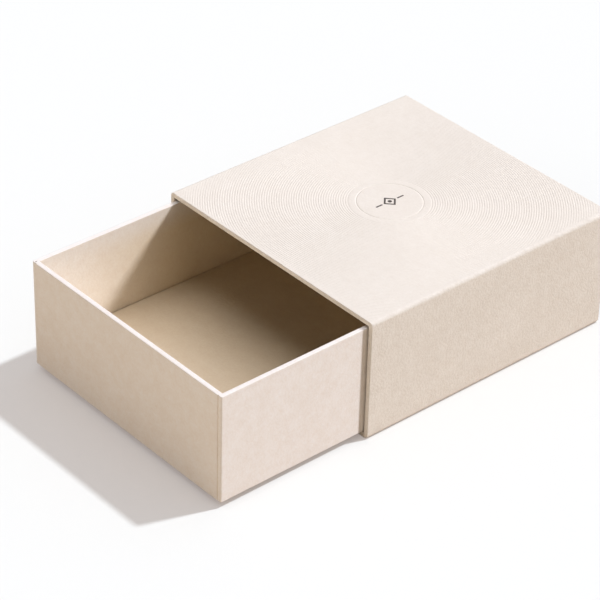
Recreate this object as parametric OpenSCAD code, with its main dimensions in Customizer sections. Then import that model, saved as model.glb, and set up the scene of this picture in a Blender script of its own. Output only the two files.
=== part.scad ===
// Sliding drawer gift box: a rigid paper-covered tray that slides in a sleeve open at both ends.
// Frame: +Z up, -Y is the side the drawer comes out of, origin at the middle of the underside.
// It is drawn with the drawer pulled part of the way out.

/* [Sleeve] */
// Outside width of the sleeve
sleeve_w = 180; // [120:1:260]
// Length of the sleeve from mouth to mouth
sleeve_l = 190; // [130:1:280]
// Outside height of the sleeve
sleeve_h = 80; // [50:1:120]
// Rounding of the four long edges
sleeve_edge_r = 2.4; // [0.8:0.1:3]
// How far the wrap laps under the base
base_lap = 18; // [8:1:40]
// How far the paper turns in over a mouth rim
mouth_turn_in = 16; // [8:1:30]
// How far the liner stands back from a mouth
liner_setback = 3; // [1:0.5:6]

/* [Sheet stock] */
// Thickness of the greyboard
board_t = 2.5; // [1.8:0.1:3]
// Thickness of the wrapping and lining paper
paper_t = 0.2; // [0.1:0.05:0.3]
// Thickness of the gummed corner stays
stay_t = 0.1; // [0.05:0.05:0.15]
// Width of one leg of a corner stay
stay_leg = 12; // [6:1:20]

/* [Pressed ring] */
// Diameter of the ring pressed into the top, on its groove's middle line
ring_d = 40.5; // [20:0.5:80]
// Width of the groove
ring_w = 1.4; // [0.8:0.1:2.4]
// Depth of the groove
ring_depth = 0.25; // [0.15:0.05:0.4]

/* [Drawer] */
// How far the drawer stands out of the sleeve
pulled_out = 105; // [0:1:115]
// How far the closed drawer's ends stand back from the mouths
end_inset = 0; // [0:0.5:3]
// Play at each side of the drawer
side_play = 0.8; // [0.4:0.1:1.5]
// Gap between the drawer and the liner under it
floor_play = 0.3; // [0.2:0.1:0.8]
// Gap between the drawer's rim and the liner over it
head_play = 1.5; // [0.6:0.1:3]
// Rounding of the upright corners
drawer_edge_r = 0.9; // [0.6:0.1:1.4]
// How far the end facings stop short of the upright corners
facing_setback = 3.5; // [1:0.5:5]
// Length of the side paper's tabs round the corners
corner_tab = 15; // [8:1:25]

/* [False floor] */
// Height of the strips that carry the floor
riser_h = 9.5; // [3:0.5:20]
// Thickness of the floor card
card_t = 1.5; // [1:0.1:3]
// Gap between the false floor and the walls
floor_gap = 0.4; // [0.2:0.1:1]
// How far the paper turns under the floor card
card_turn_under = 12; // [6:1:30]

/* [Hidden] */

// Sides of a full circle; the small edge roundings take fewer.
$fn = 96;

GREYBOARD = "#a79f94";
KRAFT_STAY = "#c9b694";
SLEEVE_PAPER = "#f0e7e0";
DRAWER_PAPER = "#f6f0ea";
LINING_PAPER = "#8b7863";

// --- Sleeve: sheets from the outside in ---
// The wrap's laps lie on the base sheet, so the wrapped body starts one sheet up.
wrap_z = paper_t;
wrap_h = sleeve_h - wrap_z;
// Depth from the wrap's face to the greyboard, and to the greyboard's inner face.
skin_t = paper_t + stay_t;
shell_t = skin_t + board_t;
// Depth to the face of the turned-in paper, and to the liner over it.
rim_t = shell_t + paper_t;
lined_t = rim_t + paper_t;
// The greyboard tube is one sheet shorter than the sleeve at each mouth.
board_l = sleeve_l - 2 * paper_t;
tunnel_z = wrap_z + lined_t;
tunnel_w = sleeve_w - 2 * lined_t;
tunnel_h = sleeve_h - lined_t - tunnel_z;
// The rounding of the long edges ends within the flat boards' thickness.
edge_r = min(sleeve_edge_r, shell_t);
// The base sheet stops where the long edges start to round.
base_sheet_w = sleeve_w - 2 * edge_r;
// The groove's bottom is an arc through its two edges, of this radius.
ring_arc_r = (pow(ring_w / 2, 2) + pow(ring_depth, 2)) / (2 * ring_depth);

// --- Drawer, in its own frame: origin under the middle of the front face, +Y towards the back ---
drawer_w = tunnel_w - 2 * side_play;
drawer_h = tunnel_h - floor_play - head_play;
drawer_l = sleeve_l - 2 * end_inset;
// Each end carries a tab layer and the facing over it.
end_skin_t = skin_t + paper_t;
end_wall_t = end_skin_t + board_t + paper_t;
side_wall_t = skin_t + board_t + paper_t;
base_top = skin_t + board_t;
box_w = drawer_w - 2 * skin_t;
wall_h = drawer_h - paper_t - base_top;
drawer_y = -sleeve_l / 2 + end_inset - pulled_out;
drawer_z = tunnel_z + floor_play;
// The space between the walls, and the false floor that drops in between them.
inner_w = drawer_w - 2 * side_wall_t;
floor_w = inner_w - 2 * floor_gap;
floor_l = drawer_l - 2 * end_wall_t - 2 * floor_gap;
card_z = base_top + riser_h + paper_t;

// A rectangle centred on X that stands on z, its four corners rounded.
module rounded_panel(w, h, r, z = 0) {
  translate([-w / 2 + r, z]) square([w - 2 * r, h]);
  translate([-w / 2, z + r]) square([w, h - 2 * r]);
  for (side = [-1, 1], end = [0, 1])
    translate([side * (w / 2 - r), z + (end == 0 ? r : h - r)]) circle(r, $fn = 48);
}

// The section of the wrapped sleeve body at a depth below its outer face.
module sleeve_section(depth) {
  rounded_panel(
    sleeve_w - 2 * depth,
    wrap_h - 2 * depth,
    max(edge_r - depth, 0.01),
    wrap_z + depth
  );
}

// A plain opening in the sleeve's section at a depth below its outer face.
module sleeve_opening(depth) {
  translate([-sleeve_w / 2 + depth, wrap_z + depth])
    square([sleeve_w - 2 * depth, wrap_h - 2 * depth]);
}

// Runs an X-Z section along Y, from y0 over a length.
module run_along_y(y0, length) {
  translate([0, y0, 0]) rotate([90, 0, 0]) mirror([0, 0, 1]) linear_extrude(length) children();
}

// Draws a shape at the front mouth and mirrors it to the back one.
module at_both_mouths() {
  for (end = [0, 1]) mirror([0, end, 0]) children();
}

// Top and base panels are full width and carry the rounded long edges.
module sleeve_flat_board(z0) {
  run_along_y(-board_l / 2, board_l) intersection() {
    sleeve_section(skin_t);
    translate([-sleeve_w / 2, z0]) square([sleeve_w, board_t]);
  }
}

module sleeve_top_board() {
  color(GREYBOARD) difference() {
    sleeve_flat_board(sleeve_h - shell_t);
    ring_tool(paper_t);
  }
}

module sleeve_base_board() {
  color(GREYBOARD) sleeve_flat_board(wrap_z + skin_t);
}

// One upright panel between the flat ones; side is -1 on the left and 1 on the right.
module sleeve_side_board(side) {
  color(GREYBOARD) mirror([side > 0 ? 0 : 1, 0, 0])
    translate([sleeve_w / 2 - shell_t, -board_l / 2, wrap_z + shell_t])
      cube([board_t, board_l, wrap_h - 2 * shell_t]);
}

module sleeve_left_board() {
  sleeve_side_board(-1);
}

module sleeve_right_board() {
  sleeve_side_board(1);
}

// Gummed strips over the four long corners of the greyboard.
module sleeve_corner_stays() {
  color(KRAFT_STAY) run_along_y(-board_l / 2, board_l) intersection() {
    difference() {
      sleeve_section(paper_t);
      sleeve_section(skin_t);
    }
    for (side = [-1, 1], end = [0, 1])
      translate([side * sleeve_w / 2, end == 0 ? wrap_z : sleeve_h]) square(2 * stay_leg, center = true);
  }
}

// The ring that presses the groove; swell is what a layer between ring and board adds to it.
module ring_tool(swell) {
  rotate_extrude() translate([ring_d / 2, sleeve_h + ring_arc_r - ring_depth])
    circle(ring_arc_r + swell, $fn = 48);
}

// The part of the mouth rim that the base sheet covers, mitred against the wrap.
module base_rim_share() {
  polygon([
    [-base_sheet_w / 2, 0],
    [base_sheet_w / 2, 0],
    [sleeve_w / 2 - rim_t, wrap_z + rim_t],
    [-sleeve_w / 2 + rim_t, wrap_z + rim_t]
  ]);
}

// The paper over the rim of the mouth, from the outer face to the turned-in paper.
module rim_section() {
  difference() {
    sleeve_section(0);
    sleeve_opening(rim_t);
  }
}

// Top and sides in one sheet: laps under the base, ends turned in, ring pressed into the top.
module sleeve_wrap() {
  color(SLEEVE_PAPER) difference() {
    union() {
      run_along_y(-board_l / 2, board_l) difference() {
        sleeve_section(0);
        sleeve_section(paper_t);
        translate([-sleeve_w / 2 + base_lap, 0])
          square([sleeve_w - 2 * base_lap, wrap_z + 2 * paper_t]);
      }
      at_both_mouths() {
        run_along_y(-sleeve_l / 2, paper_t) difference() {
          rim_section();
          base_rim_share();
        }
        run_along_y(-sleeve_l / 2, mouth_turn_in) difference() {
          sleeve_opening(shell_t);
          sleeve_opening(rim_t);
          translate([-sleeve_w / 2, 0]) square([sleeve_w, wrap_z + rim_t]);
        }
      }
      pressed_ring();
    }
    ring_tool(0);
  }
}

// The paper that the press carries down into the board under the groove.
module pressed_ring() {
  intersection() {
    ring_tool(paper_t);
    translate([0, 0, sleeve_h - 2 * ring_w])
      cylinder(h = 2 * ring_w - paper_t / 2, d = ring_d + 4 * ring_w);
  }
}

// The sheet on the underside; its ends turn in over the base board.
module sleeve_base_sheet() {
  color(SLEEVE_PAPER) {
    translate([-base_sheet_w / 2, -sleeve_l / 2, 0]) cube([base_sheet_w, sleeve_l, paper_t]);
    at_both_mouths() {
      run_along_y(-sleeve_l / 2, paper_t) base_rim_share();
      translate([-sleeve_w / 2 + rim_t, -sleeve_l / 2, wrap_z + shell_t])
        cube([sleeve_w - 2 * rim_t, mouth_turn_in, paper_t]);
    }
  }
}

// The lining paper: on the board in the middle, and stepped over the turned-in ends.
module sleeve_liner() {
  step_l = mouth_turn_in - liner_setback + paper_t;
  color(LINING_PAPER) {
    run_along_y(-sleeve_l / 2 + mouth_turn_in, sleeve_l - 2 * mouth_turn_in) difference() {
      sleeve_opening(shell_t);
      sleeve_opening(rim_t);
    }
    at_both_mouths() run_along_y(-sleeve_l / 2 + liner_setback, step_l) difference() {
      sleeve_opening(rim_t);
      sleeve_opening(lined_t);
    }
  }
}

// Moves a drawer piece from the drawer's own frame to where it stands in the sleeve.
module in_drawer() {
  translate([0, drawer_y, drawer_z]) children();
}

// Draws a drawer shape at the front end and mirrors it to the back end.
module at_both_ends() {
  children();
  translate([0, drawer_l, 0]) mirror([0, 1, 0]) children();
}

// The drawer's footprint in plan at a depth below the side faces; ends is the depth at the ends.
module footprint(depth, ends) {
  translate([0, ends, 0]) rounded_panel(
    drawer_w - 2 * depth,
    drawer_l - 2 * ends,
    max(drawer_edge_r - depth, 0.01)
  );
}

module drawer_base_board() {
  color(GREYBOARD) in_drawer() translate([0, 0, skin_t])
    linear_extrude(board_t) footprint(skin_t, end_skin_t);
}

// A wall panel standing on the base board between the side panels.
module drawer_end_board() {
  translate([-box_w / 2 + board_t, end_skin_t, base_top]) cube([box_w - 2 * board_t, board_t, wall_h]);
}

module drawer_front_board() {
  color(GREYBOARD) in_drawer() drawer_end_board();
}

module drawer_back_board() {
  color(GREYBOARD) in_drawer() translate([0, drawer_l, 0]) mirror([0, 1, 0]) drawer_end_board();
}

// A full-length wall panel; side is -1 on the left and 1 on the right.
module drawer_side_board(side) {
  color(GREYBOARD) in_drawer() translate([0, 0, base_top]) linear_extrude(wall_h) intersection() {
    footprint(skin_t, end_skin_t);
    translate([side * (box_w - board_t) / 2, drawer_l / 2]) square([board_t, drawer_l], center = true);
  }
}

module drawer_left_board() {
  drawer_side_board(-1);
}

module drawer_right_board() {
  drawer_side_board(1);
}

// Gummed strips over the four upright corners of the greyboard.
module drawer_corner_stays() {
  color(KRAFT_STAY) in_drawer() translate([0, 0, skin_t]) linear_extrude(wall_h + board_t) intersection() {
    difference() {
      footprint(paper_t, 2 * paper_t);
      footprint(skin_t, end_skin_t);
    }
    for (side = [-1, 1], end = [0, 1])
      translate([side * drawer_w / 2, end * drawer_l]) square(2 * stay_leg, center = true);
  }
}

// One sheet: the base, four turned-in walls, corner tabs and the two end facings.
module drawer_wrap() {
  color(DRAWER_PAPER) in_drawer() {
    linear_extrude(paper_t) footprint(0, paper_t);
    for (side = [-1, 1]) drawer_side_paper(side);
    at_both_ends() drawer_end_paper();
  }
}

// The paper of one long wall, with its tabs bent round the upright corners.
module drawer_side_paper(side) {
  linear_extrude(drawer_h) intersection() {
    difference() {
      footprint(0, paper_t);
      footprint(paper_t, 2 * paper_t);
    }
    translate([side * drawer_w / 2, drawer_l / 2]) square([2 * corner_tab, drawer_l], center = true);
  }
  mirror([side > 0 ? 0 : 1, 0, 0]) {
    translate([0, 0, drawer_h - paper_t]) linear_extrude(paper_t) intersection() {
      footprint(0, paper_t);
      translate([drawer_w / 2 - side_wall_t, 0]) square([side_wall_t, drawer_l]);
    }
    translate([drawer_w / 2 - side_wall_t, end_wall_t - paper_t, base_top])
      cube([paper_t, drawer_l - 2 * end_wall_t + 2 * paper_t, drawer_h - base_top]);
  }
}

// The paper of one end: a facing that stops short of the corners, turned in over the rim.
module drawer_end_paper() {
  facing_w = drawer_w - 2 * facing_setback;
  translate([-facing_w / 2, 0, 0]) cube([facing_w, paper_t, drawer_h]);
  translate([-facing_w / 2, 0, 0]) cube([facing_w, 2 * paper_t, paper_t]);
  translate([-facing_w / 2, 0, drawer_h - paper_t]) cube([facing_w, end_wall_t, paper_t]);
  translate([-inner_w / 2, end_wall_t - paper_t, base_top]) cube([inner_w, paper_t, drawer_h - base_top]);
}

// A strip standing on the base board along one side; side is -1 on the left and 1 on the right.
module floor_side_riser(side) {
  color(GREYBOARD) in_drawer() mirror([side > 0 ? 0 : 1, 0, 0])
    translate([floor_w / 2 - board_t, end_wall_t + floor_gap, base_top]) cube([board_t, floor_l, riser_h]);
}

// A strip across the drawer between the side strips; place runs from 0 at the front to 1 at the back.
module floor_cross_riser(place) {
  color(GREYBOARD) in_drawer()
    translate([-floor_w / 2 + board_t, end_wall_t + floor_gap + place * (floor_l - board_t), base_top])
      cube([floor_w - 2 * board_t, board_t, riser_h]);
}

module floor_riser_left() {
  floor_side_riser(-1);
}

module floor_riser_right() {
  floor_side_riser(1);
}

module floor_riser_front() {
  floor_cross_riser(0);
}

module floor_riser_middle() {
  floor_cross_riser(0.5);
}

module floor_riser_back() {
  floor_cross_riser(1);
}

// A flat layer of the floor, drawn in from its edges by an inset.
module floor_layer(inset, z, thickness) {
  translate([-floor_w / 2 + inset, end_wall_t + floor_gap + inset, z])
    cube([floor_w - 2 * inset, floor_l - 2 * inset, thickness]);
}

// The card that stiffens the floor, one sheet smaller all round than its paper.
module floor_card() {
  color(GREYBOARD) in_drawer() floor_layer(paper_t, card_z, card_t);
}

// The floor's paper: over the card, down its edges and turned under.
module floor_card_wrap() {
  color(DRAWER_PAPER) in_drawer() difference() {
    floor_layer(0, card_z - paper_t, card_t + 2 * paper_t);
    floor_layer(paper_t, card_z, card_t);
    floor_layer(card_turn_under, card_z - 2 * paper_t, 3 * paper_t);
  }
}

sleeve_top_board();
sleeve_base_board();
sleeve_left_board();
sleeve_right_board();
sleeve_corner_stays();
sleeve_wrap();
sleeve_base_sheet();
sleeve_liner();
drawer_base_board();
drawer_front_board();
drawer_back_board();
drawer_left_board();
drawer_right_board();
drawer_corner_stays();
drawer_wrap();
floor_riser_left();
floor_riser_right();
floor_riser_front();
floor_riser_middle();
floor_riser_back();
floor_card();
floor_card_wrap();
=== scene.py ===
"""Sliding drawer gift box: a paper-covered tray, part of the way out of its sleeve, on a pale floor."""

import logging
import math
from dataclasses import dataclass, field
from enum import Enum

import bmesh
import bpy
import numpy as np
from mathutils import Matrix, Vector


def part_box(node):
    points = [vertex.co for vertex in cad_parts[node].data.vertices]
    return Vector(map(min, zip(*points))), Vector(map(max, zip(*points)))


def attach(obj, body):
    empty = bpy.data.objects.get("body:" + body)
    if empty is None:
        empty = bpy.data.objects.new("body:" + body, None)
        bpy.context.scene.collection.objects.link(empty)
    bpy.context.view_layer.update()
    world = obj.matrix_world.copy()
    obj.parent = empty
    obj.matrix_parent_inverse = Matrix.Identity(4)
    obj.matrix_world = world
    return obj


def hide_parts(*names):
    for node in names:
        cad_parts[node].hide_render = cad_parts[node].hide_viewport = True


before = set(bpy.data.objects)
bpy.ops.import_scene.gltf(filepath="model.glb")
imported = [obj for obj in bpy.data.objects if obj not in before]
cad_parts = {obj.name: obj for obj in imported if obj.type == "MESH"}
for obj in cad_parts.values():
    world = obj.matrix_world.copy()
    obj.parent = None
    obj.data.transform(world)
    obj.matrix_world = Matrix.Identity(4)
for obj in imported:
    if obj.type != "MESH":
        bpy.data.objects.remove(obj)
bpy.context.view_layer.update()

LOG = logging.getLogger("gift_box")
MM = 0.001
PAPER = 0.2 * MM
PICTURE = 600
# The inside mark carries painted shade: a warm darkening of the drawer's inside paper.
PAINTED_SHADE_MARK = "inside"
PRESSED_MARK = "pressed"


# --- Small helpers -----------------------------------------------------------------------------


def srgb(code: str) -> tuple[float, float, float, float]:
    """Turns an sRGB hex colour into linear light.

    Args:
        code: Six hex digits after a hash sign.

    Returns:
        Red, green, blue and an alpha of 1, linear.
    """
    shares = [int(code[place : place + 2], 16) / 255 for place in (1, 3, 5)]
    linear = [s / 12.92 if s <= 0.04045 else ((s + 0.055) / 1.055) ** 2.4 for s in shares]
    return (*linear, 1.0)


def add_node(
    tree: bpy.types.NodeTree,
    kind: str,
    settings: dict[str | int, object] | None = None,
    links: dict[str | int, bpy.types.NodeSocket] | None = None,
) -> bpy.types.Node:
    """Adds one node to a tree, with its settings and the links into it.

    Args:
        tree: The tree that gets the node.
        kind: The node's type name.
        settings: Values by name: a lower-case name is a property of the node, any other a socket.
        links: Output sockets by the name or number of the input that each one feeds.

    Returns:
        The new node.
    """
    node = tree.nodes.new(kind)
    for name, value in (settings or {}).items():
        if isinstance(name, str) and name.islower():
            setattr(node, name, value)
        else:
            node.inputs[name].default_value = value
    for name, source in (links or {}).items():
        tree.links.new(source, node.inputs[name])
    return node


def add_noise(
    tree: bpy.types.NodeTree,
    place: bpy.types.NodeSocket,
    size: float,
    detail: float,
    roughness: float = 0.5,
) -> bpy.types.NodeSocket:
    """Adds noise whose marks have a real size.

    Args:
        tree: The tree that gets the noise.
        place: Where the noise is looked up.
        size: The size of its marks.
        detail: How many finer layers lie on them.
        roughness: How strong the finer layers are.

    Returns:
        The noise, from 0 to 1.
    """
    settings = {"Scale": 1 / size, "Detail": detail, "Roughness": roughness}
    return add_node(tree, "ShaderNodeTexNoise", settings, {"Vector": place}).outputs["Fac"]


def add_blend(
    tree: bpy.types.NodeTree, share: bpy.types.NodeSocket, dark: str, light: str
) -> bpy.types.NodeSocket:
    """Adds a blend of two colours.

    Args:
        tree: The tree that gets the blend.
        share: How much of the light colour shows, from 0 to 1.
        dark: The colour at 0.
        light: The colour at 1.

    Returns:
        The blended colour.
    """
    settings = {"data_type": "RGBA", 6: srgb(dark), 7: srgb(light)}
    return add_node(tree, "ShaderNodeMix", settings, {0: share}).outputs[2]


def new_material(name: str) -> tuple[bpy.types.Material, bpy.types.NodeTree]:
    """Makes an empty node material.

    Args:
        name: The material's name.

    Returns:
        The material and its tree.
    """
    material = bpy.data.materials.new(name)
    material.use_nodes = True
    material.node_tree.nodes.clear()
    return material, material.node_tree


def smooth_step(low: float, high: float, value: np.ndarray) -> np.ndarray:
    """Rises smoothly from 0 at low to 1 at high.

    Args:
        low: Where the rise starts.
        high: Where it ends.
        value: The values to look up.

    Returns:
        The share for each value.
    """
    share = np.clip((value - low) / (high - low), 0.0, 1.0)
    return share * share * (3.0 - 2.0 * share)


# --- Finishes ----------------------------------------------------------------------------------


class Grain(Enum):
    """How strongly a paper's felt marks stand out."""

    FINE = 0.7
    FELT = 1.0


@dataclass(frozen=True)
class WrappingPaper:
    """Uncoated felt-marked wrapping paper: fully matte, softly mottled, with a fine tooth."""

    name: str = "uncoated_wrapping_paper"
    light: str = "#F7F3EB"
    dark: str = "#E8E1D6"
    tooth_size: float = 1.5 * MM
    mottle_size: float = 6 * MM
    cloud_size: float = 40 * MM
    tooth_height: float = 0.28 * MM
    roughness: float = 0.88
    grain: Grain = Grain.FELT
    tooth_weight: float = 0.9
    cloud_weight: float = 0.6
    spread: float = 0.42
    pressed_share: float = 0.4
    # Painted shade: a warm tint that darkens the colour where the inside mark lies; white paints none.
    painted_shade_tint: str = "#FFFFFF"

    def material(self) -> bpy.types.Material:
        """Builds the paper.

        Returns:
            A material whose colour and tooth both follow the same felt marks.
        """
        material, tree = new_material(self.name)
        place = add_node(tree, "ShaderNodeTexCoord").outputs["Object"]
        tooth = add_noise(tree, place, self.tooth_size, 3.0, 0.6)
        mottle = add_noise(tree, place, self.mottle_size, 4.0, 0.62)
        cloud = add_noise(tree, place, self.cloud_size, 2.0)
        fibre_weight = self.tooth_weight * self.grain.value
        fibres = add_node(
            tree,
            "ShaderNodeMath",
            {"operation": "MULTIPLY_ADD", 1: fibre_weight},
            {0: tooth, 2: mottle},
        )
        tone = add_node(
            tree,
            "ShaderNodeMath",
            {"operation": "MULTIPLY_ADD", 1: self.cloud_weight},
            {0: cloud, 2: fibres.outputs["Value"]},
        )
        middle = 0.5 * (1.0 + fibre_weight + self.cloud_weight)
        share = add_node(
            tree,
            "ShaderNodeMapRange",
            {"From Min": middle - self.spread, "From Max": middle + self.spread},
            {"Value": tone.outputs["Value"]},
        )
        pressed = add_node(tree, "ShaderNodeAttribute", {"attribute_name": PRESSED_MARK})
        evenness = add_node(
            tree,
            "ShaderNodeMapRange",
            {"To Max": 1.0 - self.pressed_share},
            {"Value": pressed.outputs["Fac"]},
        )
        even = add_node(
            tree,
            "ShaderNodeMix",
            {"data_type": "FLOAT", 3: 0.5},
            {0: evenness.outputs["Result"], 2: share.outputs["Result"]},
        )
        colour = add_blend(tree, even.outputs[0], self.dark, self.light)
        # Painted shade: the colour is multiplied by the warm tint where the inside mark lies.
        inside = add_node(tree, "ShaderNodeAttribute", {"attribute_name": PAINTED_SHADE_MARK})
        painted_shade_colour = add_node(
            tree,
            "ShaderNodeMix",
            {"data_type": "RGBA", "blend_type": "MULTIPLY", 7: srgb(self.painted_shade_tint)},
            {0: inside.outputs["Fac"], 6: colour},
        )
        standing = add_node(
            tree,
            "ShaderNodeMapRange",
            {"To Min": self.grain.value, "To Max": self.grain.value * self.pressed_share},
            {"Value": pressed.outputs["Fac"]},
        )
        bump = add_node(
            tree,
            "ShaderNodeBump",
            {"Distance": self.tooth_height},
            {"Height": tooth, "Strength": standing.outputs["Result"]},
        )
        shader = add_node(
            tree,
            "ShaderNodeBsdfPrincipled",
            {"Roughness": self.roughness, "IOR": 1.45, "Specular IOR Level": 0.3},
            {"Base Color": painted_shade_colour.outputs[2], "Normal": bump.outputs["Normal"]},
        )
        add_node(tree, "ShaderNodeOutputMaterial", links={"Surface": shader.outputs["BSDF"]})
        return material


@dataclass(frozen=True)
class Greyboard:
    """Recycled greyboard, cut on a guillotine: grey-brown pulp with light and dark flecks."""

    name: str = "greyboard"
    pulp: str = "#A79F94"
    fleck: str = "#847B70"
    pulp_size: float = 4 * MM
    fleck_size: float = 0.8 * MM
    all_fleck: float = 0.12
    all_pulp: float = 0.34
    roughness: float = 0.92

    def material(self) -> bpy.types.Material:
        """Builds the board.

        Returns:
            A material of flecked pulp.
        """
        material, tree = new_material(self.name)
        place = add_node(tree, "ShaderNodeTexCoord").outputs["Object"]
        flecks = add_noise(tree, place, self.fleck_size, 2.0)
        pulp = add_noise(tree, place, self.pulp_size, 5.0)
        both = add_node(
            tree,
            "ShaderNodeMath",
            {"operation": "MULTIPLY"},
            {0: flecks, 1: pulp},
        )
        share = add_node(
            tree,
            "ShaderNodeMapRange",
            {"From Min": self.all_fleck, "From Max": self.all_pulp},
            {"Value": both.outputs["Value"]},
        )
        colour = add_blend(tree, share.outputs["Result"], self.fleck, self.pulp)
        shader = add_node(
            tree,
            "ShaderNodeBsdfPrincipled",
            {"Roughness": self.roughness, "IOR": 1.45, "Specular IOR Level": 0.2},
            {"Base Color": colour},
        )
        add_node(tree, "ShaderNodeOutputMaterial", links={"Surface": shader.outputs["BSDF"]})
        return material


@dataclass(frozen=True)
class GummedKraft:
    """Gummed kraft tape, machine-glazed: long brown fibres with a slight shine from the gum."""

    name: str = "gummed_kraft_tape"
    light: str = "#D0BC9A"
    dark: str = "#B79F7C"
    fibre_width: float = 0.6 * MM
    fibre_stretch: float = 8.0
    roughness: float = 0.6

    def material(self) -> bpy.types.Material:
        """Builds the tape.

        Returns:
            A material of stretched fibres.
        """
        material, tree = new_material(self.name)
        place = add_node(tree, "ShaderNodeTexCoord").outputs["Object"]
        along = add_node(
            tree,
            "ShaderNodeMapping",
            {"Scale": (1.0, 1 / self.fibre_stretch, 1.0)},
            {"Vector": place},
        )
        fibres = add_noise(tree, along.outputs["Vector"], self.fibre_width, 3.0)
        colour = add_blend(tree, fibres, self.dark, self.light)
        shader = add_node(
            tree,
            "ShaderNodeBsdfPrincipled",
            {"Roughness": self.roughness, "IOR": 1.5},
            {"Base Color": colour},
        )
        add_node(tree, "ShaderNodeOutputMaterial", links={"Surface": shader.outputs["BSDF"]})
        return material


@dataclass(frozen=True)
class PrintedInk:
    """Matte offset ink on uncoated paper: near black, broken up a little by the paper's tooth."""

    name: str = "matte_offset_ink"
    solid: str = "#332D2A"
    broken: str = "#4A423D"
    tooth_size: float = 0.9 * MM
    roughness: float = 0.7

    def material(self) -> bpy.types.Material:
        """Builds the ink.

        Returns:
            A material that varies with the tooth under it.
        """
        material, tree = new_material(self.name)
        place = add_node(tree, "ShaderNodeTexCoord").outputs["Object"]
        tooth = add_noise(tree, place, self.tooth_size, 3.0)
        colour = add_blend(tree, tooth, self.solid, self.broken)
        shader = add_node(
            tree,
            "ShaderNodeBsdfPrincipled",
            {"Roughness": self.roughness, "IOR": 1.5},
            {"Base Color": colour},
        )
        add_node(tree, "ShaderNodeOutputMaterial", links={"Surface": shader.outputs["BSDF"]})
        return material


COVER_PAPER = WrappingPaper()
# The tint inside stands for the warm light that the photograph shows between the walls.
DRAWER_PAPER = WrappingPaper(
    name="smooth_wrapping_paper",
    light="#FFFDFB",
    dark="#F6EFE8",
    tooth_height=0.2 * MM,
    grain=Grain.FINE,
    painted_shade_tint="#ECDDBF",
)
LINING_PAPER = WrappingPaper(
    name="brown_lining_paper",
    light="#7E6B57",
    dark="#6E5C4A",
    tooth_height=0.06 * MM,
    grain=Grain.FINE,
)
GREYBOARD = Greyboard()
STAY_TAPE = GummedKraft()
INK = PrintedInk()


# --- Meshes ------------------------------------------------------------------------------------


@dataclass
class SheetMesh:
    """Gathers grids of points into one welded, closed sheet."""

    points: list[np.ndarray] = field(default_factory=list)
    faces: list[tuple[int, ...]] = field(default_factory=list)
    count: int = 0

    def add_grid(self, grid: np.ndarray, closed: bool = False) -> None:
        """Adds the faces between the rows and columns of a grid of points.

        Args:
            grid: Points by row and column.
            closed: Whether the last row joins the first one.
        """
        rows, columns = grid.shape[:2]
        self.points.append(grid.reshape(-1, 3))
        for row in range(rows if closed else rows - 1):
            here = self.count + row * columns
            there = self.count + (row + 1) % rows * columns
            self.faces += [
                (here + c, here + c + 1, there + c + 1, there + c) for c in range(columns - 1)
            ]
        self.count += rows * columns

    def add_strip(self, one: np.ndarray, other: np.ndarray, closed: bool = False) -> None:
        """Joins two lines of points, as along the cut edge of a sheet.

        Args:
            one: The points of one line.
            other: As many points of the other line.
            closed: Whether the lines are loops.
        """
        self.add_grid(np.stack([one, other], axis=1), closed)

    def add_panel(self, loop: np.ndarray) -> None:
        """Fills a flat loop of points.

        Args:
            loop: The points round the panel, in order.
        """
        self.points.append(loop)
        self.faces.append(tuple(range(self.count, self.count + len(loop))))
        self.count += len(loop)

    def build(self, name: str, body: str, weld: float = 0.002 * MM) -> bpy.types.Object:
        """Welds what was added into one piece that rides on a body.

        Args:
            name: The piece's name.
            body: The CAD body that it rides on.
            weld: How close two points are welded.

        Returns:
            The piece.
        """
        mesh = bpy.data.meshes.new(name)
        mesh.from_pydata(np.concatenate(self.points).tolist(), [], self.faces)
        work = bmesh.new()
        work.from_mesh(mesh)
        bmesh.ops.remove_doubles(work, verts=work.verts, dist=weld)
        bmesh.ops.dissolve_degenerate(work, edges=work.edges, dist=weld / 2)
        bmesh.ops.recalc_face_normals(work, faces=work.faces)
        open_edges = sum(1 for edge in work.edges if not edge.is_manifold)
        for face in work.faces:
            face.smooth = True
        work.to_mesh(mesh)
        work.free()
        piece = bpy.data.objects.new(name, mesh)
        bpy.context.scene.collection.objects.link(piece)
        weighted = piece.modifiers.new("flat_panels", "WEIGHTED_NORMAL")
        weighted.weight = 100
        weighted.keep_sharp = True
        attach(piece, body)
        LOG.info("%s: %d faces, %d open edges", name, len(mesh.polygons), open_edges)
        return piece


def quarter(steps: int) -> np.ndarray:
    """The angles of a quarter turn, both ends included."""
    return np.linspace(0.0, math.pi / 2, steps + 1)


def mark(piece: bpy.types.Object, name: str, shares: np.ndarray) -> None:
    """Gives each vertex of a sheet a share that its paper reads.

    Args:
        piece: The sheet.
        name: The mark's name.
        shares: A share from 0 to 1 for each vertex.
    """
    marks = piece.data.attributes.new(name, "FLOAT", "POINT")
    marks.data.foreach_set("value", shares.astype(float))


def places_of(piece: bpy.types.Object) -> np.ndarray:
    """The places of a piece's vertices, one in each row."""
    return np.array([vertex.co for vertex in piece.data.vertices])


@dataclass(frozen=True)
class PaintedShadeGrowth:
    """How the painted shade on the inside grows: towards the back wall, and down from the rim."""

    front: float = -190 * MM
    back: float = -80 * MM
    rim: float = 75 * MM
    fall: float = 18 * MM

    def shares(self, places: np.ndarray) -> np.ndarray:
        """How far the mark has grown.

        Args:
            places: Places in the drawer, one in each row.

        Returns:
            A share from 0 to 1 for each place.
        """
        back = smooth_step(self.front, self.back, places[:, 1])
        return back * smooth_step(0.0, self.fall, self.rim - places[:, 2])


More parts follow.
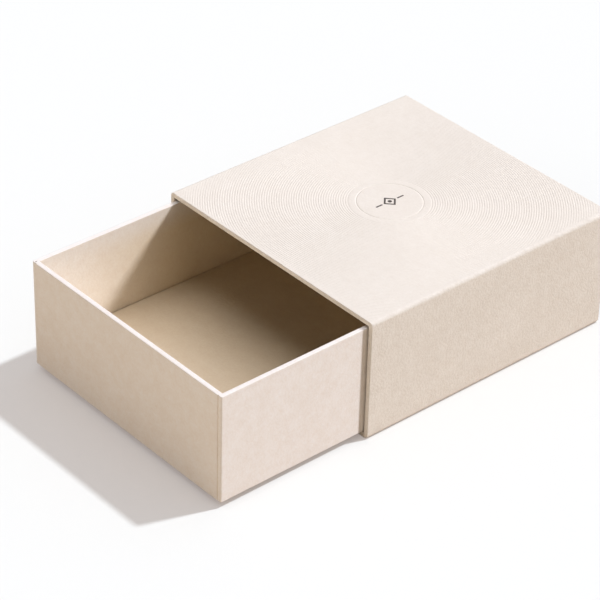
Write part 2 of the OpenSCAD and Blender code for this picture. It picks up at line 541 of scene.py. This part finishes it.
def mark_painted_shade(piece: bpy.types.Object, low: Vector, high: Vector, least: float) -> None:
    """Marks painted shade on the part of a sheet that lines the inside, more so towards the back and
    bottom.

    Args:
        piece: The sheet.
        low: The lower corner of the lined space.
        high: Its upper corner.
        least: The painted shade at the front.
    """
    places = places_of(piece)
    within = np.all((places > np.array(low)) & (places < np.array(high)), axis=1)
    mark(piece, PAINTED_SHADE_MARK, within * (least + (1.0 - least) * PaintedShadeGrowth().shares(places)))


def dress(piece: bpy.types.Object, material: bpy.types.Material) -> None:
    """Gives a piece one material.

    Args:
        piece: The piece to dress.
        material: The material that takes the place of what it had.
    """
    piece.data.materials.clear()
    piece.data.materials.append(material)


@dataclass
class FoldedEdge:
    """A sheet's way over the edge of a board, from its outer face to the board's inner face.

    Depth is measured inwards from the outer face and reach outwards towards the cut edge.
    """

    wall: float
    sheet: float
    outer_fold: float
    inner_fold: float
    steps: int = 5
    rim_rows: int = 1
    inner_rows: int = 1

    def path(self, inner_end: float, below: float = 0.0) -> np.ndarray:
        """The sheet's section, as (depth, distance back from the rim).

        Args:
            inner_end: How far from the rim the turned-in end lies.
            below: How far under the outer face of the sheet the path runs.

        Returns:
            Points from the turned-in end, round the rim and up to the start of the outer face.
        """
        down = np.linspace(inner_end, self.inner_fold, self.inner_rows + 1)[:-1]
        inner = [(self.wall - below, back) for back in down]
        inner += [
            (
                self.wall - self.inner_fold + (self.inner_fold - below) * math.cos(turn),
                self.inner_fold - (self.inner_fold - below) * math.sin(turn),
            )
            for turn in quarter(self.steps)
        ]
        across = np.linspace(self.wall - self.inner_fold, self.outer_fold, self.rim_rows + 1)[1:-1]
        rim = [(depth, below) for depth in across]
        outer = [
            (
                self.outer_fold - (self.outer_fold - below) * math.sin(turn),
                self.outer_fold - (self.outer_fold - below) * math.cos(turn),
            )
            for turn in quarter(self.steps)
        ]
        return np.array(inner + rim + outer)


# --- Sleeve ------------------------------------------------------------------------------------


@dataclass
class RingField:
    """The top face: fine rings pressed into it round a bare disc with a groove about it."""

    half_width: float
    half_length: float
    groove_radius: float = 20.25 * MM
    groove_width: float = 1.4 * MM
    groove_depth: float = 0.25 * MM
    first_ring: float = 24.6 * MM
    pitch: float = 1.47 * MM
    ring_depth: float = 0.265 * MM
    depth_over_tape: float = 0.17 * MM
    tape_reach: float = 9.7 * MM
    deepening: float = 5 * MM
    fade: float = 0.7 * MM
    rays_on_side: int = 36
    rays_on_end: int = 34
    samples_per_ring: int = 4
    groove_samples: int = 12
    disc_samples: tuple[float, ...] = (0.0, 6 * MM, 12 * MM, 16 * MM, 18.5 * MM)
    past_groove: float = 2 * MM

    def angles(self) -> np.ndarray:
        """The directions of the rays, alike in each quarter and one of them through each corner."""
        corner = math.atan2(self.half_length, self.half_width)
        first = np.concatenate(
            [
                np.linspace(0.0, corner, self.rays_on_side, endpoint=False),
                np.linspace(corner, math.pi / 2, self.rays_on_end + 1),
            ]
        )
        half = np.concatenate([first, math.pi - first[-2::-1]])
        return np.concatenate([half, half[1:-1] + math.pi])

    def reach(self, angles: np.ndarray) -> np.ndarray:
        """How far the face runs from its middle along each ray.

        Args:
            angles: The rays' directions.

        Returns:
            The distance to the face's edge.
        """
        across = np.maximum(np.abs(np.cos(angles)), 1e-9)
        along = np.maximum(np.abs(np.sin(angles)), 1e-9)
        return np.minimum(self.half_width / across, self.half_length / along)

    def edge_hits(self) -> tuple[np.ndarray, np.ndarray]:
        """Where the rays meet the edges.

        Returns:
            The x places along an end edge and the y places along a side edge, in rising order.
        """
        angles = self.angles()
        reach = self.reach(angles)
        x, y = reach * np.cos(angles), reach * np.sin(angles)
        on_end = y > self.half_length - 1e-9
        on_side = x > self.half_width - 1e-9
        return np.sort(x[on_end]), np.sort(y[on_side])

    def depth(self, to_side: np.ndarray, to_end: np.ndarray) -> np.ndarray:
        """How deep the rings are: less over the corner tape and by the mouths.

        Args:
            to_side: Distances to the face's side edges.
            to_end: Distances to its end edges.

        Returns:
            The depths.
        """
        off_tape = smooth_step(self.tape_reach, self.tape_reach + self.deepening, to_side)
        deeper = off_tape * smooth_step(0.0, self.deepening, to_end)
        return self.depth_over_tape + (self.ring_depth - self.depth_over_tape) * deeper

    def height(self, x: np.ndarray, y: np.ndarray, under: bool) -> np.ndarray:
        """How far the face lies below its plain level.

        Args:
            x: Places across the box.
            y: Places along it.
            under: Whether this is the paper's underside, which keeps clear of the rings.

        Returns:
            Heights, none above 0.
        """
        radius = np.hypot(x, y)
        off = np.clip(np.abs(radius - self.groove_radius) / (self.groove_width / 2), 0.0, 1.0)
        low = -self.groove_depth * 0.5 * (1.0 + np.cos(math.pi * off))
        to_side, to_end = self.half_width - np.abs(x), self.half_length - np.abs(y)
        depth = self.depth(to_side, to_end)
        if under:
            return low + (self.depth_over_tape - depth) * (radius > self.first_ring)
        shown = smooth_step(0.0, self.fade, np.minimum(to_side, to_end))
        shown = shown * (radius > self.first_ring)
        turn = 2.0 * math.pi * (radius - self.first_ring) / self.pitch
        return low - depth * 0.5 * (1.0 - np.cos(turn)) * shown

    def radii(self, under: bool) -> np.ndarray:
        """The distances from the middle at which the face is sampled.

        Args:
            under: Whether this is the underside, which needs fewer.

        Returns:
            The distances in rising order, the last beyond every corner.
        """
        edge = self.groove_width / 2
        groove = self.groove_radius + np.linspace(-edge, edge, self.groove_samples + 1)
        far = math.hypot(self.half_width, self.half_length)
        step = self.pitch if under else self.pitch / self.samples_per_ring
        outside = np.arange(self.first_ring, far + step, step)
        plain = [self.groove_radius + self.past_groove]
        return np.concatenate([self.disc_samples, groove, plain, outside])

    def grid(self, level: float, under: bool = False) -> np.ndarray:
        """The face's points by ray and distance.

        Args:
            level: The plain level.
            under: Whether this is the paper's underside.

        Returns:
            Points whose outer column lies on the face's edge.
        """
        angles = self.angles()[:, None]
        radius = np.minimum(self.radii(under)[None, :], self.reach(angles))
        x, y = radius * np.cos(angles), radius * np.sin(angles)
        return np.stack([x, y, level + self.height(x, y, under)], axis=2)


@dataclass
class Sleeve:
    """The outer case, open at both ends."""

    paper: float = PAPER
    edge_radius: float = 2.4 * MM
    mouth_fold: float = 0.5 * MM
    inner_fold: float = 0.4 * MM
    turn_in: float = 16 * MM
    lap: float = 18 * MM
    face_drop: float = 0.015 * MM
    arc_steps: int = 6
    side_rows: int = 10

    def __post_init__(self) -> None:
        """Takes the sleeve's sizes from the frame."""
        low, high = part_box("sleeve_wrap")
        self.half_width, self.half_length = high.x, high.y
        self.bottom, self.top = low.z, high.z - self.face_drop
        self.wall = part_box("sleeve_left_board")[1].x - low.x + self.paper
        self.base_half_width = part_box("sleeve_base_sheet")[1].x
        self.edge = FoldedEdge(self.wall, self.paper, self.mouth_fold, self.inner_fold)
        self.field = RingField(
            self.half_width - self.edge_radius, self.half_length - self.mouth_fold
        )

    def mitre(self, depth: float) -> float:
        """How far from the middle the wrap meets the base sheet's rim at a depth."""
        share = (self.bottom + depth) / (self.bottom + self.wall)
        return self.base_half_width + share * (self.half_width - self.wall - self.base_half_width)

    def half_profile(self, depth: float, with_lap: bool) -> np.ndarray:
        """The right half of the wrap's section at a depth, without the top.

        Args:
            depth: The depth below the outer face.
            with_lap: Whether the lap under the base counts.

        Returns:
            (x, z) points from under the base, up the side, to the start of the top.
        """
        corner = max(self.edge_radius, depth)
        radius = corner - depth
        x_in = self.half_width - corner
        z_low, z_high = self.bottom + corner, self.top - corner
        lap = [(self.half_width - self.lap, self.bottom + depth)] if with_lap else []
        low_arc = [
            (x_in + radius * math.sin(turn), z_low - radius * math.cos(turn))
            for turn in quarter(self.arc_steps)
        ]
        side = [
            (self.half_width - depth, z_low + share * (z_high - z_low))
            for share in np.linspace(0, 1, self.side_rows + 1)[1:-1]
        ]
        high_arc = [
            (x_in + radius * math.cos(turn), z_high + radius * math.sin(turn))
            for turn in quarter(self.arc_steps)
        ]
        foot = [(self.mitre(depth), self.bottom + depth)]
        return np.array(lap + foot + low_arc[1:] + side + high_arc)

    def section(self, depth: float) -> np.ndarray:
        """The wrap's whole section at a depth, from mitre to mitre.

        Args:
            depth: The depth below the outer face.

        Returns:
            (x, z) points from the left foot over the top to the right foot.
        """
        right = self.half_profile(depth, False)
        left = right * np.array([-1.0, 1.0])
        corner = max(self.edge_radius, depth)
        across = self.field.edge_hits()[0] / self.field.half_width
        top_x = across[1:-1] * (self.half_width - corner)
        top = np.stack([top_x, np.full_like(top_x, self.top - depth)], axis=1)
        return np.concatenate([left, top, right[::-1]])

    def mouth(self, below: float, end: int) -> np.ndarray:
        """The sheet round one mouth: turned-in end, rim and the start of the outer face.

        Args:
            below: How far under the outer face of the sheet the surface runs.
            end: -1 at the front mouth and 1 at the back one.

        Returns:
            Points by place along the section and place along the folded edge.
        """
        rows = []
        for depth, back in self.edge.path(self.turn_in, below):
            section = self.section(depth)
            y = np.full(len(section), end * (self.half_length - back))
            rows.append(np.stack([section[:, 0], y, section[:, 1]], axis=1))
        return np.stack(rows, axis=1)

    def flank(self, below: float, side: int) -> np.ndarray:
        """One side with its lap, between the two mouths.

        Args:
            below: How far under the outer face of the sheet the surface runs.
            side: -1 on the left and 1 on the right.

        Returns:
            Points by place along the section and place along the box.
        """
        profile = self.half_profile(below, True)
        places = self.field.edge_hits()[1]
        x = np.repeat(side * profile[:, :1], len(places), axis=1)
        z = np.repeat(profile[:, 1:], len(places), axis=1)
        y = np.repeat(places[None, :], len(profile), axis=0)
        return np.stack([x, y, z], axis=2)

    def build_wrap(self) -> bpy.types.Object:
        """Builds the wrap as one closed sheet.

        Returns:
            The piece, which stands for the plain wrap.
        """
        sheet = SheetMesh()
        for end in (-1, 1):
            outer, inner = self.mouth(0.0, end), self.mouth(self.paper, end)
            for surface in (outer, inner):
                sheet.add_grid(surface)
            sheet.add_strip(outer[:, 0], inner[:, 0])
            sheet.add_strip(outer[0], inner[0])
            sheet.add_strip(outer[-1], inner[-1])
        for side in (-1, 1):
            outer, inner = self.flank(0.0, side), self.flank(self.paper, side)
            for surface in (outer, inner):
                sheet.add_grid(surface)
            sheet.add_strip(outer[0], inner[0])
            for end in (0, -1):
                sheet.add_strip(outer[:2, end], inner[:2, end])
        sheet.add_grid(self.field.grid(self.top), closed=True)
        sheet.add_grid(self.field.grid(self.top - self.paper, under=True), closed=True)
        wrap = sheet.build("sleeve_paper", "sleeve")
        places = places_of(wrap)
        reach = np.array([self.field.half_width, self.field.half_length]) + self.paper / 2
        on_face = np.abs(places[:, :2]) < reach
        above = places[:, 2] > self.top - self.wall / 2
        mark(wrap, PRESSED_MARK, above * on_face.all(axis=1))
        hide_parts("sleeve_wrap")
        return wrap


@dataclass
class PrintedDevice:
    """A plain device in ink on the bare disc: a dot in a lozenge, between two pointed rules."""

    stroke: float = 1.15 * MM
    lozenge: tuple[float, float] = (5.2 * MM, 4.9 * MM)
    dot: float = 1.35 * MM
    rule: tuple[float, float] = (0.55 * MM, 2.75 * MM)
    rule_place: float = 8.5 * MM
    sink: float = 0.01 * MM
    dot_sides: int = 32

    def add_shape(self, sheet: SheetMesh, outline: np.ndarray, hole: float = 0.0) -> None:
        """Adds one raised shape of ink.

        Args:
            sheet: The mesh that gets it.
            outline: The (x, y) corners of the shape, anticlockwise about its own middle.
            hole: The size of its hole, as a share of the shape.
        """
        middle = outline.mean(axis=0)
        loops = [
            np.column_stack([middle + (outline - middle) * share, np.full(len(outline), level)])
            for share, level in (
                (1.0, self.low),
                (1.0, self.high),
                (hole, self.high),
                (hole, self.low),
            )
        ]
        sheet.add_strip(loops[0], loops[1], closed=True)
        if hole:
            for one, other in ((1, 2), (2, 3), (3, 0)):
                sheet.add_strip(loops[one], loops[other], closed=True)
        else:
            sheet.add_panel(loops[1])
            sheet.add_panel(loops[0][::-1])

    def build_ink(self, face: float, top: float) -> bpy.types.Object:
        """Builds the device.

        Args:
            face: The height of the paper under it.
            top: The height of the ink's top.

        Returns:
            The piece.
        """
        self.low, self.high = face - self.sink, top
        corners = np.array([[1.0, 0.0], [0.0, 1.0], [-1.0, 0.0], [0.0, -1.0]])
        angles = np.linspace(0.0, 2.0 * math.pi, self.dot_sides, endpoint=False)
        sheet = SheetMesh()
        inset = self.stroke * math.hypot(*self.lozenge) / math.prod(self.lozenge)
        self.add_shape(sheet, corners * self.lozenge, 1.0 - inset)
        self.add_shape(sheet, self.dot * np.column_stack([np.cos(angles), np.sin(angles)]))
        wide, reach = self.rule
        flank = reach - wide
        half = np.array([[wide, -flank], [wide, flank], [0.0, reach]])
        for side in (-1, 1):
            self.add_shape(sheet, np.vstack([half, -half]) + (0.0, side * self.rule_place))
        return sheet.build("printed_device", "sleeve")


# --- Drawer ------------------------------------------------------------------------------------


@dataclass
class Plan:
    """A rectangle in plan with rounded corners, drawn at a depth below its sides."""

    low: Vector
    high: Vector
    radius: float
    arc_steps: int = 5

    def loop(self, depth: float, across: np.ndarray, along: np.ndarray) -> np.ndarray:
        """The outline at a depth, anticlockwise from the front left corner.

        Args:
            depth: How far inside the sides the outline lies.
            across: Shares from 0 to 1 at which the front and back are sampled.
            along: Shares from 0 to 1 at which the left and right are sampled.

        Returns:
            (x, y) points round the outline.
        """
        corner = max(self.radius, depth)
        radius = corner - depth
        x0, x1 = self.low.x + corner, self.high.x - corner
        y0, y1 = self.low.y + corner, self.high.y - corner
        turns = quarter(self.arc_steps)
        points: list[tuple[float, float]] = []
        for start, (cx, cy) in enumerate(((x0, y0), (x1, y0), (x1, y1), (x0, y1))):
            base = math.pi + start * math.pi / 2
            points += [
                (cx + radius * math.cos(base + t), cy + radius * math.sin(base + t)) for t in turns
            ]
            if start == 0:
                points += [(x0 + s * (x1 - x0), self.low.y + depth) for s in across]
            elif start == 1:
                points += [(self.high.x - depth, y0 + s * (y1 - y0)) for s in along]
            elif start == 2:
                points += [(x1 - s * (x1 - x0), self.high.y - depth) for s in across]
            else:
                points += [(self.low.x + depth, y1 - s * (y1 - y0)) for s in along]
        return np.array(points)


@dataclass
class Drawer:
    """The tray that slides in the sleeve, without its raised floor."""

    paper: float = PAPER
    corner_radius: float = 0.9 * MM
    rim_fold: float = 0.5 * MM
    inner_fold: float = 0.4 * MM
    base_fold: float = 0.3 * MM
    facing_setback: float = 3.5 * MM
    seam_width: float = 0.6 * MM
    seam_depth: float = 0.35 * MM
    pinhole_from_corner: tuple[float, float] = (1.7 * MM, 1.5 * MM)
    pinhole_radius: float = 0.38 * MM
    pinhole_depth: float = 0.8 * MM
    step_width: float = 0.06 * MM
    wall_rows: int = 12
    fold_steps: int = 4
    rim_rows: int = 16
    inner_rows: int = 12
    beside_seam: tuple[float, ...] = (2.8 * MM, 3.6 * MM, 4.4 * MM)
    plain_reach: float = 60 * MM
    plain_samples: int = 9
    corner_reach: float = 1 * MM
    corner_samples: int = 8
    side_samples: int = 42
    # The painted shade's share at the front of the drawer's inside.
    painted_shade_least: float = 0.3

    def __post_init__(self) -> None:
        """Takes the drawer's sizes from the frame, and sets where its outline is sampled."""
        self.low, self.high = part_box("drawer_wrap")
        self.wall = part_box("drawer_left_board")[1].x - self.low.x + self.paper
        self.base_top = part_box("drawer_base_board")[1].z
        inset = Vector((0.0, self.paper, 0.0))
        self.plan = Plan(self.low + inset, self.high - inset, self.corner_radius)
        self.edge = FoldedEdge(
            self.wall,
            self.paper,
            self.rim_fold,
            self.inner_fold,
            rim_rows=self.rim_rows,
            inner_rows=self.inner_rows,
        )
        half = self.high.x - self.corner_radius
        seam = self.high.x - self.facing_setback
        # The outline is sampled most closely where the facing steps down to the corner tabs.
        near = [seam + quarters * self.seam_width / 4 for quarters in range(-2, 7)]
        near += [self.high.x - back for back in self.beside_seam]
        places = np.array(sorted([-p for p in near] + near))
        fill = np.linspace(-self.plain_reach, self.plain_reach, self.plain_samples)
        corner = np.linspace(0.0, self.corner_reach, self.corner_samples + 1)[1:]
        length = self.high.y - self.low.y
        self.across = np.sort(
            np.concatenate([(places + half) / (2 * half), (fill + half) / (2 * half)])
        )
        self.across = np.concatenate([corner / (2 * half), self.across])
        sides = np.linspace(0, 1, self.side_samples + 2)[1:-1]
        self.along = np.concatenate([sides, 1.0 - corner[::-1] / length])

    def end_relief(self, loop: np.ndarray, depth: float) -> np.ndarray:
        """How far the end walls' paper stands proud of the corner tabs: facing, seam or tab.

        Args:
            loop: (x, y) points round the drawer.
            depth: The depth of the outline below the outer face.

        Returns:
            The distance outwards at each point.
        """
        at_front = np.abs(loop[:, 1] - self.plan.low.y - depth) < 1e-7
        at_back = np.abs(loop[:, 1] - self.plan.high.y + depth) < 1e-7
        past = np.abs(loop[:, 0]) - (self.high.x - self.facing_setback)
        facing = self.paper * (1.0 - smooth_step(-self.step_width, self.step_width, past))
        middle = past - self.seam_width / 2
        groove = np.clip(1.0 - np.abs(middle) / (self.seam_width / 2), 0.0, 1.0)
        relief = facing - self.seam_depth * groove
        return np.where(at_front | at_back, relief, 0.0) * np.where(at_back, 1.0, -1.0)

    def ring(self, depth: float, z: float, relief: float) -> np.ndarray:
        """One loop of the wrap.

        Args:
            depth: The depth below the outer face.
            z: The height of the loop.
            relief: How much of the facing's step shows there, from 0 to 1.

        Returns:
            Points round the drawer.
        """
        loop = self.plan.loop(depth, self.across, self.along)
        y = loop[:, 1] + relief * self.end_relief(loop, depth)
        heights = np.full(len(loop), z)
        hole = np.array(
            [
                self.low.x + self.pinhole_from_corner[0],
                self.low.y + self.pinhole_from_corner[1],
            ]
        )
        off = np.hypot(loop[:, 0] - hole[0], y - hole[1]) / self.pinhole_radius
        if z > self.high.z - self.paper - 1e-9:
            heights = heights - self.pinhole_depth * np.exp(-off * off)
        return np.stack([loop[:, 0], y, heights], axis=1)

    def surface(self, below: float) -> np.ndarray:
        """The wrap from under the base, up the outer face, over the rim and down the inside.

        Args:
            below: How far under the outer face of the sheet the surface runs.

        Returns:
            Points by place round the drawer and place along the sheet.
        """
        fold = self.base_fold
        rings = [
            self.ring(
                fold - (fold - below) * math.sin(turn),
                self.low.z + fold - (fold - below) * math.cos(turn),
                math.sin(turn),
            )
            for turn in quarter(self.fold_steps)
        ]
        shares = np.linspace(0, 1, self.wall_rows + 1)[1:]
        start, stop = self.low.z + fold, self.high.z - self.rim_fold
        rings += [self.ring(below, start + s * (stop - start), 1.0) for s in shares[:-1]]
        inner_end = self.high.z - self.base_top
        for depth, back in self.edge.path(inner_end, below)[::-1]:
            fade = 1.0 - float(smooth_step(0.0, self.rim_fold, np.array(depth - below)))
            rings.append(self.ring(depth, self.high.z - back, fade))
        return np.stack(rings, axis=1)

    def build_wrap(self) -> bpy.types.Object:
        """Builds the wrap as one closed sheet.

        Returns:
            The piece, which stands for the plain wrap.
        """
        sheet = SheetMesh()
        outer, inner = self.surface(0.0), self.surface(self.paper)
        for surface in (outer, inner):
            sheet.add_grid(surface, closed=True)
            sheet.add_panel(surface[:, 0])
        sheet.add_strip(outer[:, -1], inner[:, -1], closed=True)
        wrap = sheet.build("drawer_paper", "drawer")
        inset = Vector((1, 1, 0)) * (self.wall - self.inner_fold / 2)
        rim = Vector((0, 0, self.inner_fold / 2))
        # The inside of the wrap gets painted shade, growing towards the back and the bottom.
        mark_painted_shade(wrap, self.low + inset, self.high - inset - rim, self.painted_shade_least)
        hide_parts("drawer_wrap")
        return wrap


@dataclass
class RaisedFloor:
    """The papered card that lies on strips inside the drawer."""

    paper: float = PAPER
    corner_radius: float = 0.4 * MM
    edge_fold: float = 0.45 * MM
    turn_under: float = 12 * MM
    bands: int = 17
    fold_steps: int = 4
    # The painted shade's share at the front of the floor; it grows to full towards the back.
    painted_shade_least: float = 0.8

    def __post_init__(self) -> None:
        """Takes the floor's place from the frame."""
        self.low, self.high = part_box("floor_card_wrap")
        self.plan = Plan(self.low, self.high, self.corner_radius)

    def surface(self, below: float) -> np.ndarray:
        """The paper from its turned-under edge, round the card's edge, to the start of the top.

        Args:
            below: How far under the outer face of the sheet the surface runs.

        Returns:
            Points by place round the card and place along the sheet.
        """
        shares = np.linspace(0, 1, self.bands + 1)[1:-1]
        fold = self.edge_fold
        places = [(self.turn_under, self.low.z + below)]
        places += [
            (
                fold - (fold - below) * math.sin(turn),
                self.low.z + fold - (fold - below) * math.cos(turn),
            )
            for turn in quarter(self.fold_steps)
        ]
        places += [
            (
                fold - (fold - below) * math.cos(turn),
                self.high.z - fold + (fold - below) * math.sin(turn),
            )
            for turn in quarter(self.fold_steps)
        ]
        rings = []
        for depth, z in places:
            loop = self.plan.loop(depth, shares, shares)
            rings.append(np.column_stack([loop, np.full(len(loop), z)]))
        return np.stack(rings, axis=1)

    def top_bands(self, loop: np.ndarray) -> list[np.ndarray]:
        """Parts the flat top in bands across the box, so that a mark can grow along it.

        Args:
            loop: The points round the top, anticlockwise from the front left corner.

        Returns:
            The points round each band.
        """
        arc, rows = self.plan.arc_steps + 1, self.bands - 1
        right = np.arange(rows) + 2 * arc + rows
        left = len(loop) - 1 - np.arange(rows)
        ends = [[left[0], *range(right[0] + 1)], [*range(right[-1], left[-1] + 1)]]
        between = [
            [right[row], right[row + 1], left[row + 1], left[row]] for row in range(rows - 1)
        ]
        return [loop[band] for band in ends + between]

    def build_paper(self) -> bpy.types.Object:
        """Builds the floor's paper as one closed sheet.

        Returns:
            The piece, which stands for the plain one.
        """
        sheet = SheetMesh()
        outer, inner = self.surface(0.0), self.surface(self.paper)
        for surface in (outer, inner):
            sheet.add_grid(surface, closed=True)
            for band in self.top_bands(surface[:, -1]):
                sheet.add_panel(band)
        sheet.add_strip(outer[:, 0], inner[:, 0], closed=True)
        paper = sheet.build("floor_paper", "drawer")
        margin = Vector((MM, MM, MM))
        # The floor's paper gets painted shade, darker towards the back.
        mark_painted_shade(paper, self.low - margin, self.high + margin, self.painted_shade_least)
        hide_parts("floor_card_wrap")
        return paper


# --- Studio ------------------------------------------------------------------------------------


@dataclass(frozen=True)
class Viewpoint:
    """The camera's place, from the photograph's straight edges."""

    azimuth: float = math.radians(48.4)
    elevation: float = math.radians(33.9)
    roll: float = math.radians(1.6)
    distance: float = 1.625
    focal_pixels: float = 2650.0
    origin_pixel: tuple[float, float] = (384.3, 312.3)
    sensor: float = 36.0

    def build(self) -> bpy.types.Object:
        """Makes the camera so that the frame's origin falls on its pixel.

        Returns:
            The camera.
        """
        sin_a, cos_a = math.sin(self.azimuth), math.cos(self.azimuth)
        sin_e, cos_e = math.sin(self.elevation), math.cos(self.elevation)
        back = Vector((sin_a * cos_e, -cos_a * cos_e, sin_e))
        level = Vector((cos_a, sin_a, 0.0))
        upright = back.cross(level)
        right = math.cos(self.roll) * level + math.sin(self.roll) * upright
        up = -math.sin(self.roll) * level + math.cos(self.roll) * upright
        middle = PICTURE / 2
        ray = Vector(
            (
                (self.origin_pixel[0] - middle) / self.focal_pixels,
                (middle - self.origin_pixel[1]) / self.focal_pixels,
                -1.0,
            )
        ).normalized()
        turn = Matrix((right, up, back)).transposed()
        data = bpy.data.cameras.new("camera")
        data.sensor_width = self.sensor
        data.lens = self.focal_pixels / PICTURE * self.sensor
        data.clip_start, data.clip_end = 0.05, 50.0
        camera = bpy.data.objects.new("camera", data)
        camera.matrix_world = Matrix.Translation(turn @ (-ray * self.distance)) @ turn.to_4x4()
        bpy.context.scene.collection.objects.link(camera)
        bpy.context.scene.camera = camera
        return camera


@dataclass(frozen=True)
class Lamp:
    """A lamp so far away that its light is parallel but for the angle that it fills."""

    name: str
    to_lamp: tuple[float, float, float]
    strength: float
    angle: float
    colour: tuple[float, float, float] = (1.0, 1.0, 1.0)

    def build(self, lit: list[bpy.types.Object]) -> bpy.types.Object:
        """Makes the lamp.

        Args:
            lit: What it lights.

        Returns:
            The lamp.
        """
        data = bpy.data.lights.new(self.name, "SUN")
        data.energy, data.angle, data.color = self.strength, self.angle, self.colour
        lamp = bpy.data.objects.new(self.name, data)
        lamp.rotation_mode = "QUATERNION"
        lamp.rotation_quaternion = Vector(self.to_lamp).to_track_quat("Z", "Y")
        bpy.context.scene.collection.objects.link(lamp)
        receivers = bpy.data.collections.new(self.name + "_lights")
        for thing in lit:
            receivers.objects.link(thing)
        lamp.light_linking.receiver_collection = receivers
        return lamp


# One lamp can't cast both the shadows on the box and the one on the floor as they are in the
# photograph, so the floor has lamps of its own.
BOX_LAMPS = (
    Lamp("key", (0.6, 0.555, 0.577), 2.25, math.radians(9), (0.968, 0.955, 1.0)),
    Lamp("overhead", (-0.15, 0.3, 0.94), 2.08, math.radians(70), (1.0, 0.955, 0.975)),
    Lamp("front_fill", (-0.1, -0.99, 0.06), 1.04, math.radians(18), (1.0, 0.885, 0.75)),
)
FLOOR_LAMPS = (
    Lamp("floor_key", (0.218, 0.612, 1.0), 2.78, math.radians(3), (0.842, 0.92, 0.96)),
    Lamp("floor_overhead", (0.0, 0.0, 1.0), 2.0, math.radians(150)),
)


@dataclass(frozen=True)
class StudioLight:
    """A key, a wide overhead and a warm front fill on the box, and separate lamps on the floor."""

    box_lamps: tuple[Lamp, ...] = BOX_LAMPS
    floor_lamps: tuple[Lamp, ...] = FLOOR_LAMPS

    def build(self, box: list[bpy.types.Object], floor: bpy.types.Object) -> None:
        """Makes the lamps, and a white world for what the camera sees.

        Args:
            box: The pieces of the box.
            floor: What it stands on.
        """
        for lamp in self.box_lamps:
            lamp.build(box)
        for lamp in self.floor_lamps:
            lamp.build([floor])
        world = bpy.data.worlds.new("studio")
        bpy.context.scene.world = world
        world.use_nodes = True
        tree = world.node_tree
        tree.nodes.clear()
        white = add_node(
            tree,
            "ShaderNodeBackground",
            {"Color": srgb("#FFFFFF")},
            {"Strength": seen_directly(tree)},
        )
        add_node(tree, "ShaderNodeOutputWorld", links={"Surface": white.outputs[0]})


def seen_directly(tree: bpy.types.NodeTree) -> bpy.types.NodeSocket:
    """A switch that is 1 for what the camera sees, itself or in a gloss or through glass.

    Args:
        tree: The tree that gets the switch.

    Returns:
        The output socket.
    """
    path = add_node(tree, "ShaderNodeLightPath")
    either = add_node(
        tree,
        "ShaderNodeMath",
        {"operation": "MAXIMUM"},
        {0: path.outputs["Is Camera Ray"], 1: path.outputs["Is Glossy Ray"]},
    )
    return add_node(
        tree,
        "ShaderNodeMath",
        {"operation": "MAXIMUM"},
        {0: either.outputs[0], 1: path.outputs["Is Transmission Ray"]},
    ).outputs[0]


@dataclass(frozen=True)
class StudioFloor:
    """A pale seamless floor: warm white card to the box, white with its shadow to the camera."""

    half_size: float = 6.0
    card: str = "#C8B29D"
    shown: str = "#CCCCCC"
    lift: str = "#837B78"

    def build(self) -> bpy.types.Object:
        """Makes the floor.

        Returns:
            The floor, which isn't part of the box.
        """
        mesh = bpy.data.meshes.new("floor")
        size = self.half_size
        mesh.from_pydata(
            [(-size, -size, 0.0), (size, -size, 0.0), (size, size, 0.0), (-size, size, 0.0)],
            [],
            [(0, 1, 2, 3)],
        )
        floor = bpy.data.objects.new("floor", mesh)
        bpy.context.scene.collection.objects.link(floor)
        material, tree = new_material("studio_floor")
        card = add_node(tree, "ShaderNodeBsdfDiffuse", {"Color": srgb(self.card)})
        shown = add_node(tree, "ShaderNodeBsdfDiffuse", {"Color": srgb(self.shown)})
        lift = add_node(tree, "ShaderNodeEmission", {"Color": srgb(self.lift)})
        white = add_node(
            tree, "ShaderNodeAddShader", links={0: shown.outputs[0], 1: lift.outputs[0]}
        )
        mixed = add_node(
            tree,
            "ShaderNodeMixShader",
            links={0: seen_directly(tree), 1: card.outputs[0], 2: white.outputs[0]},
        )
        add_node(tree, "ShaderNodeOutputMaterial", links={"Surface": mixed.outputs[0]})
        dress(floor, material)
        return floor


# --- The whole box -----------------------------------------------------------------------------


def dress_hidden_parts(cover: bpy.types.Material) -> None:
    """Gives every CAD piece that stays its own finish.

    Args:
        cover: The sleeve's paper, for the sheet under the base.
    """
    board, tape, lining = GREYBOARD.material(), STAY_TAPE.material(), LINING_PAPER.material()
    for name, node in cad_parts.items():
        if name.endswith("_stays"):
            dress(node, tape)
        elif name == "sleeve_liner":
            dress(node, lining)
        elif name == "sleeve_base_sheet":
            dress(node, cover)
        elif not name.endswith("_wrap"):
            dress(node, board)


def main() -> None:
    """Builds the scene: camera, light and floor, then the box from the outside in."""
    logging.basicConfig(level=logging.INFO, format="%(name)s: %(message)s")
    bpy.context.scene.view_settings.view_transform = "Standard"
    Viewpoint().build()
    floor = StudioFloor().build()
    cover, drawer_paper = COVER_PAPER.material(), DRAWER_PAPER.material()
    dress_hidden_parts(cover)
    sleeve = Sleeve()
    pieces = {
        sleeve.build_wrap(): cover,
        PrintedDevice().build_ink(sleeve.top, sleeve.top + sleeve.face_drop): INK.material(),
        Drawer().build_wrap(): drawer_paper,
        RaisedFloor().build_paper(): drawer_paper,
    }
    for piece, finish in pieces.items():
        dress(piece, finish)
    StudioLight().build([*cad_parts.values(), *pieces], floor)


if __name__ == "__main__":
    main()
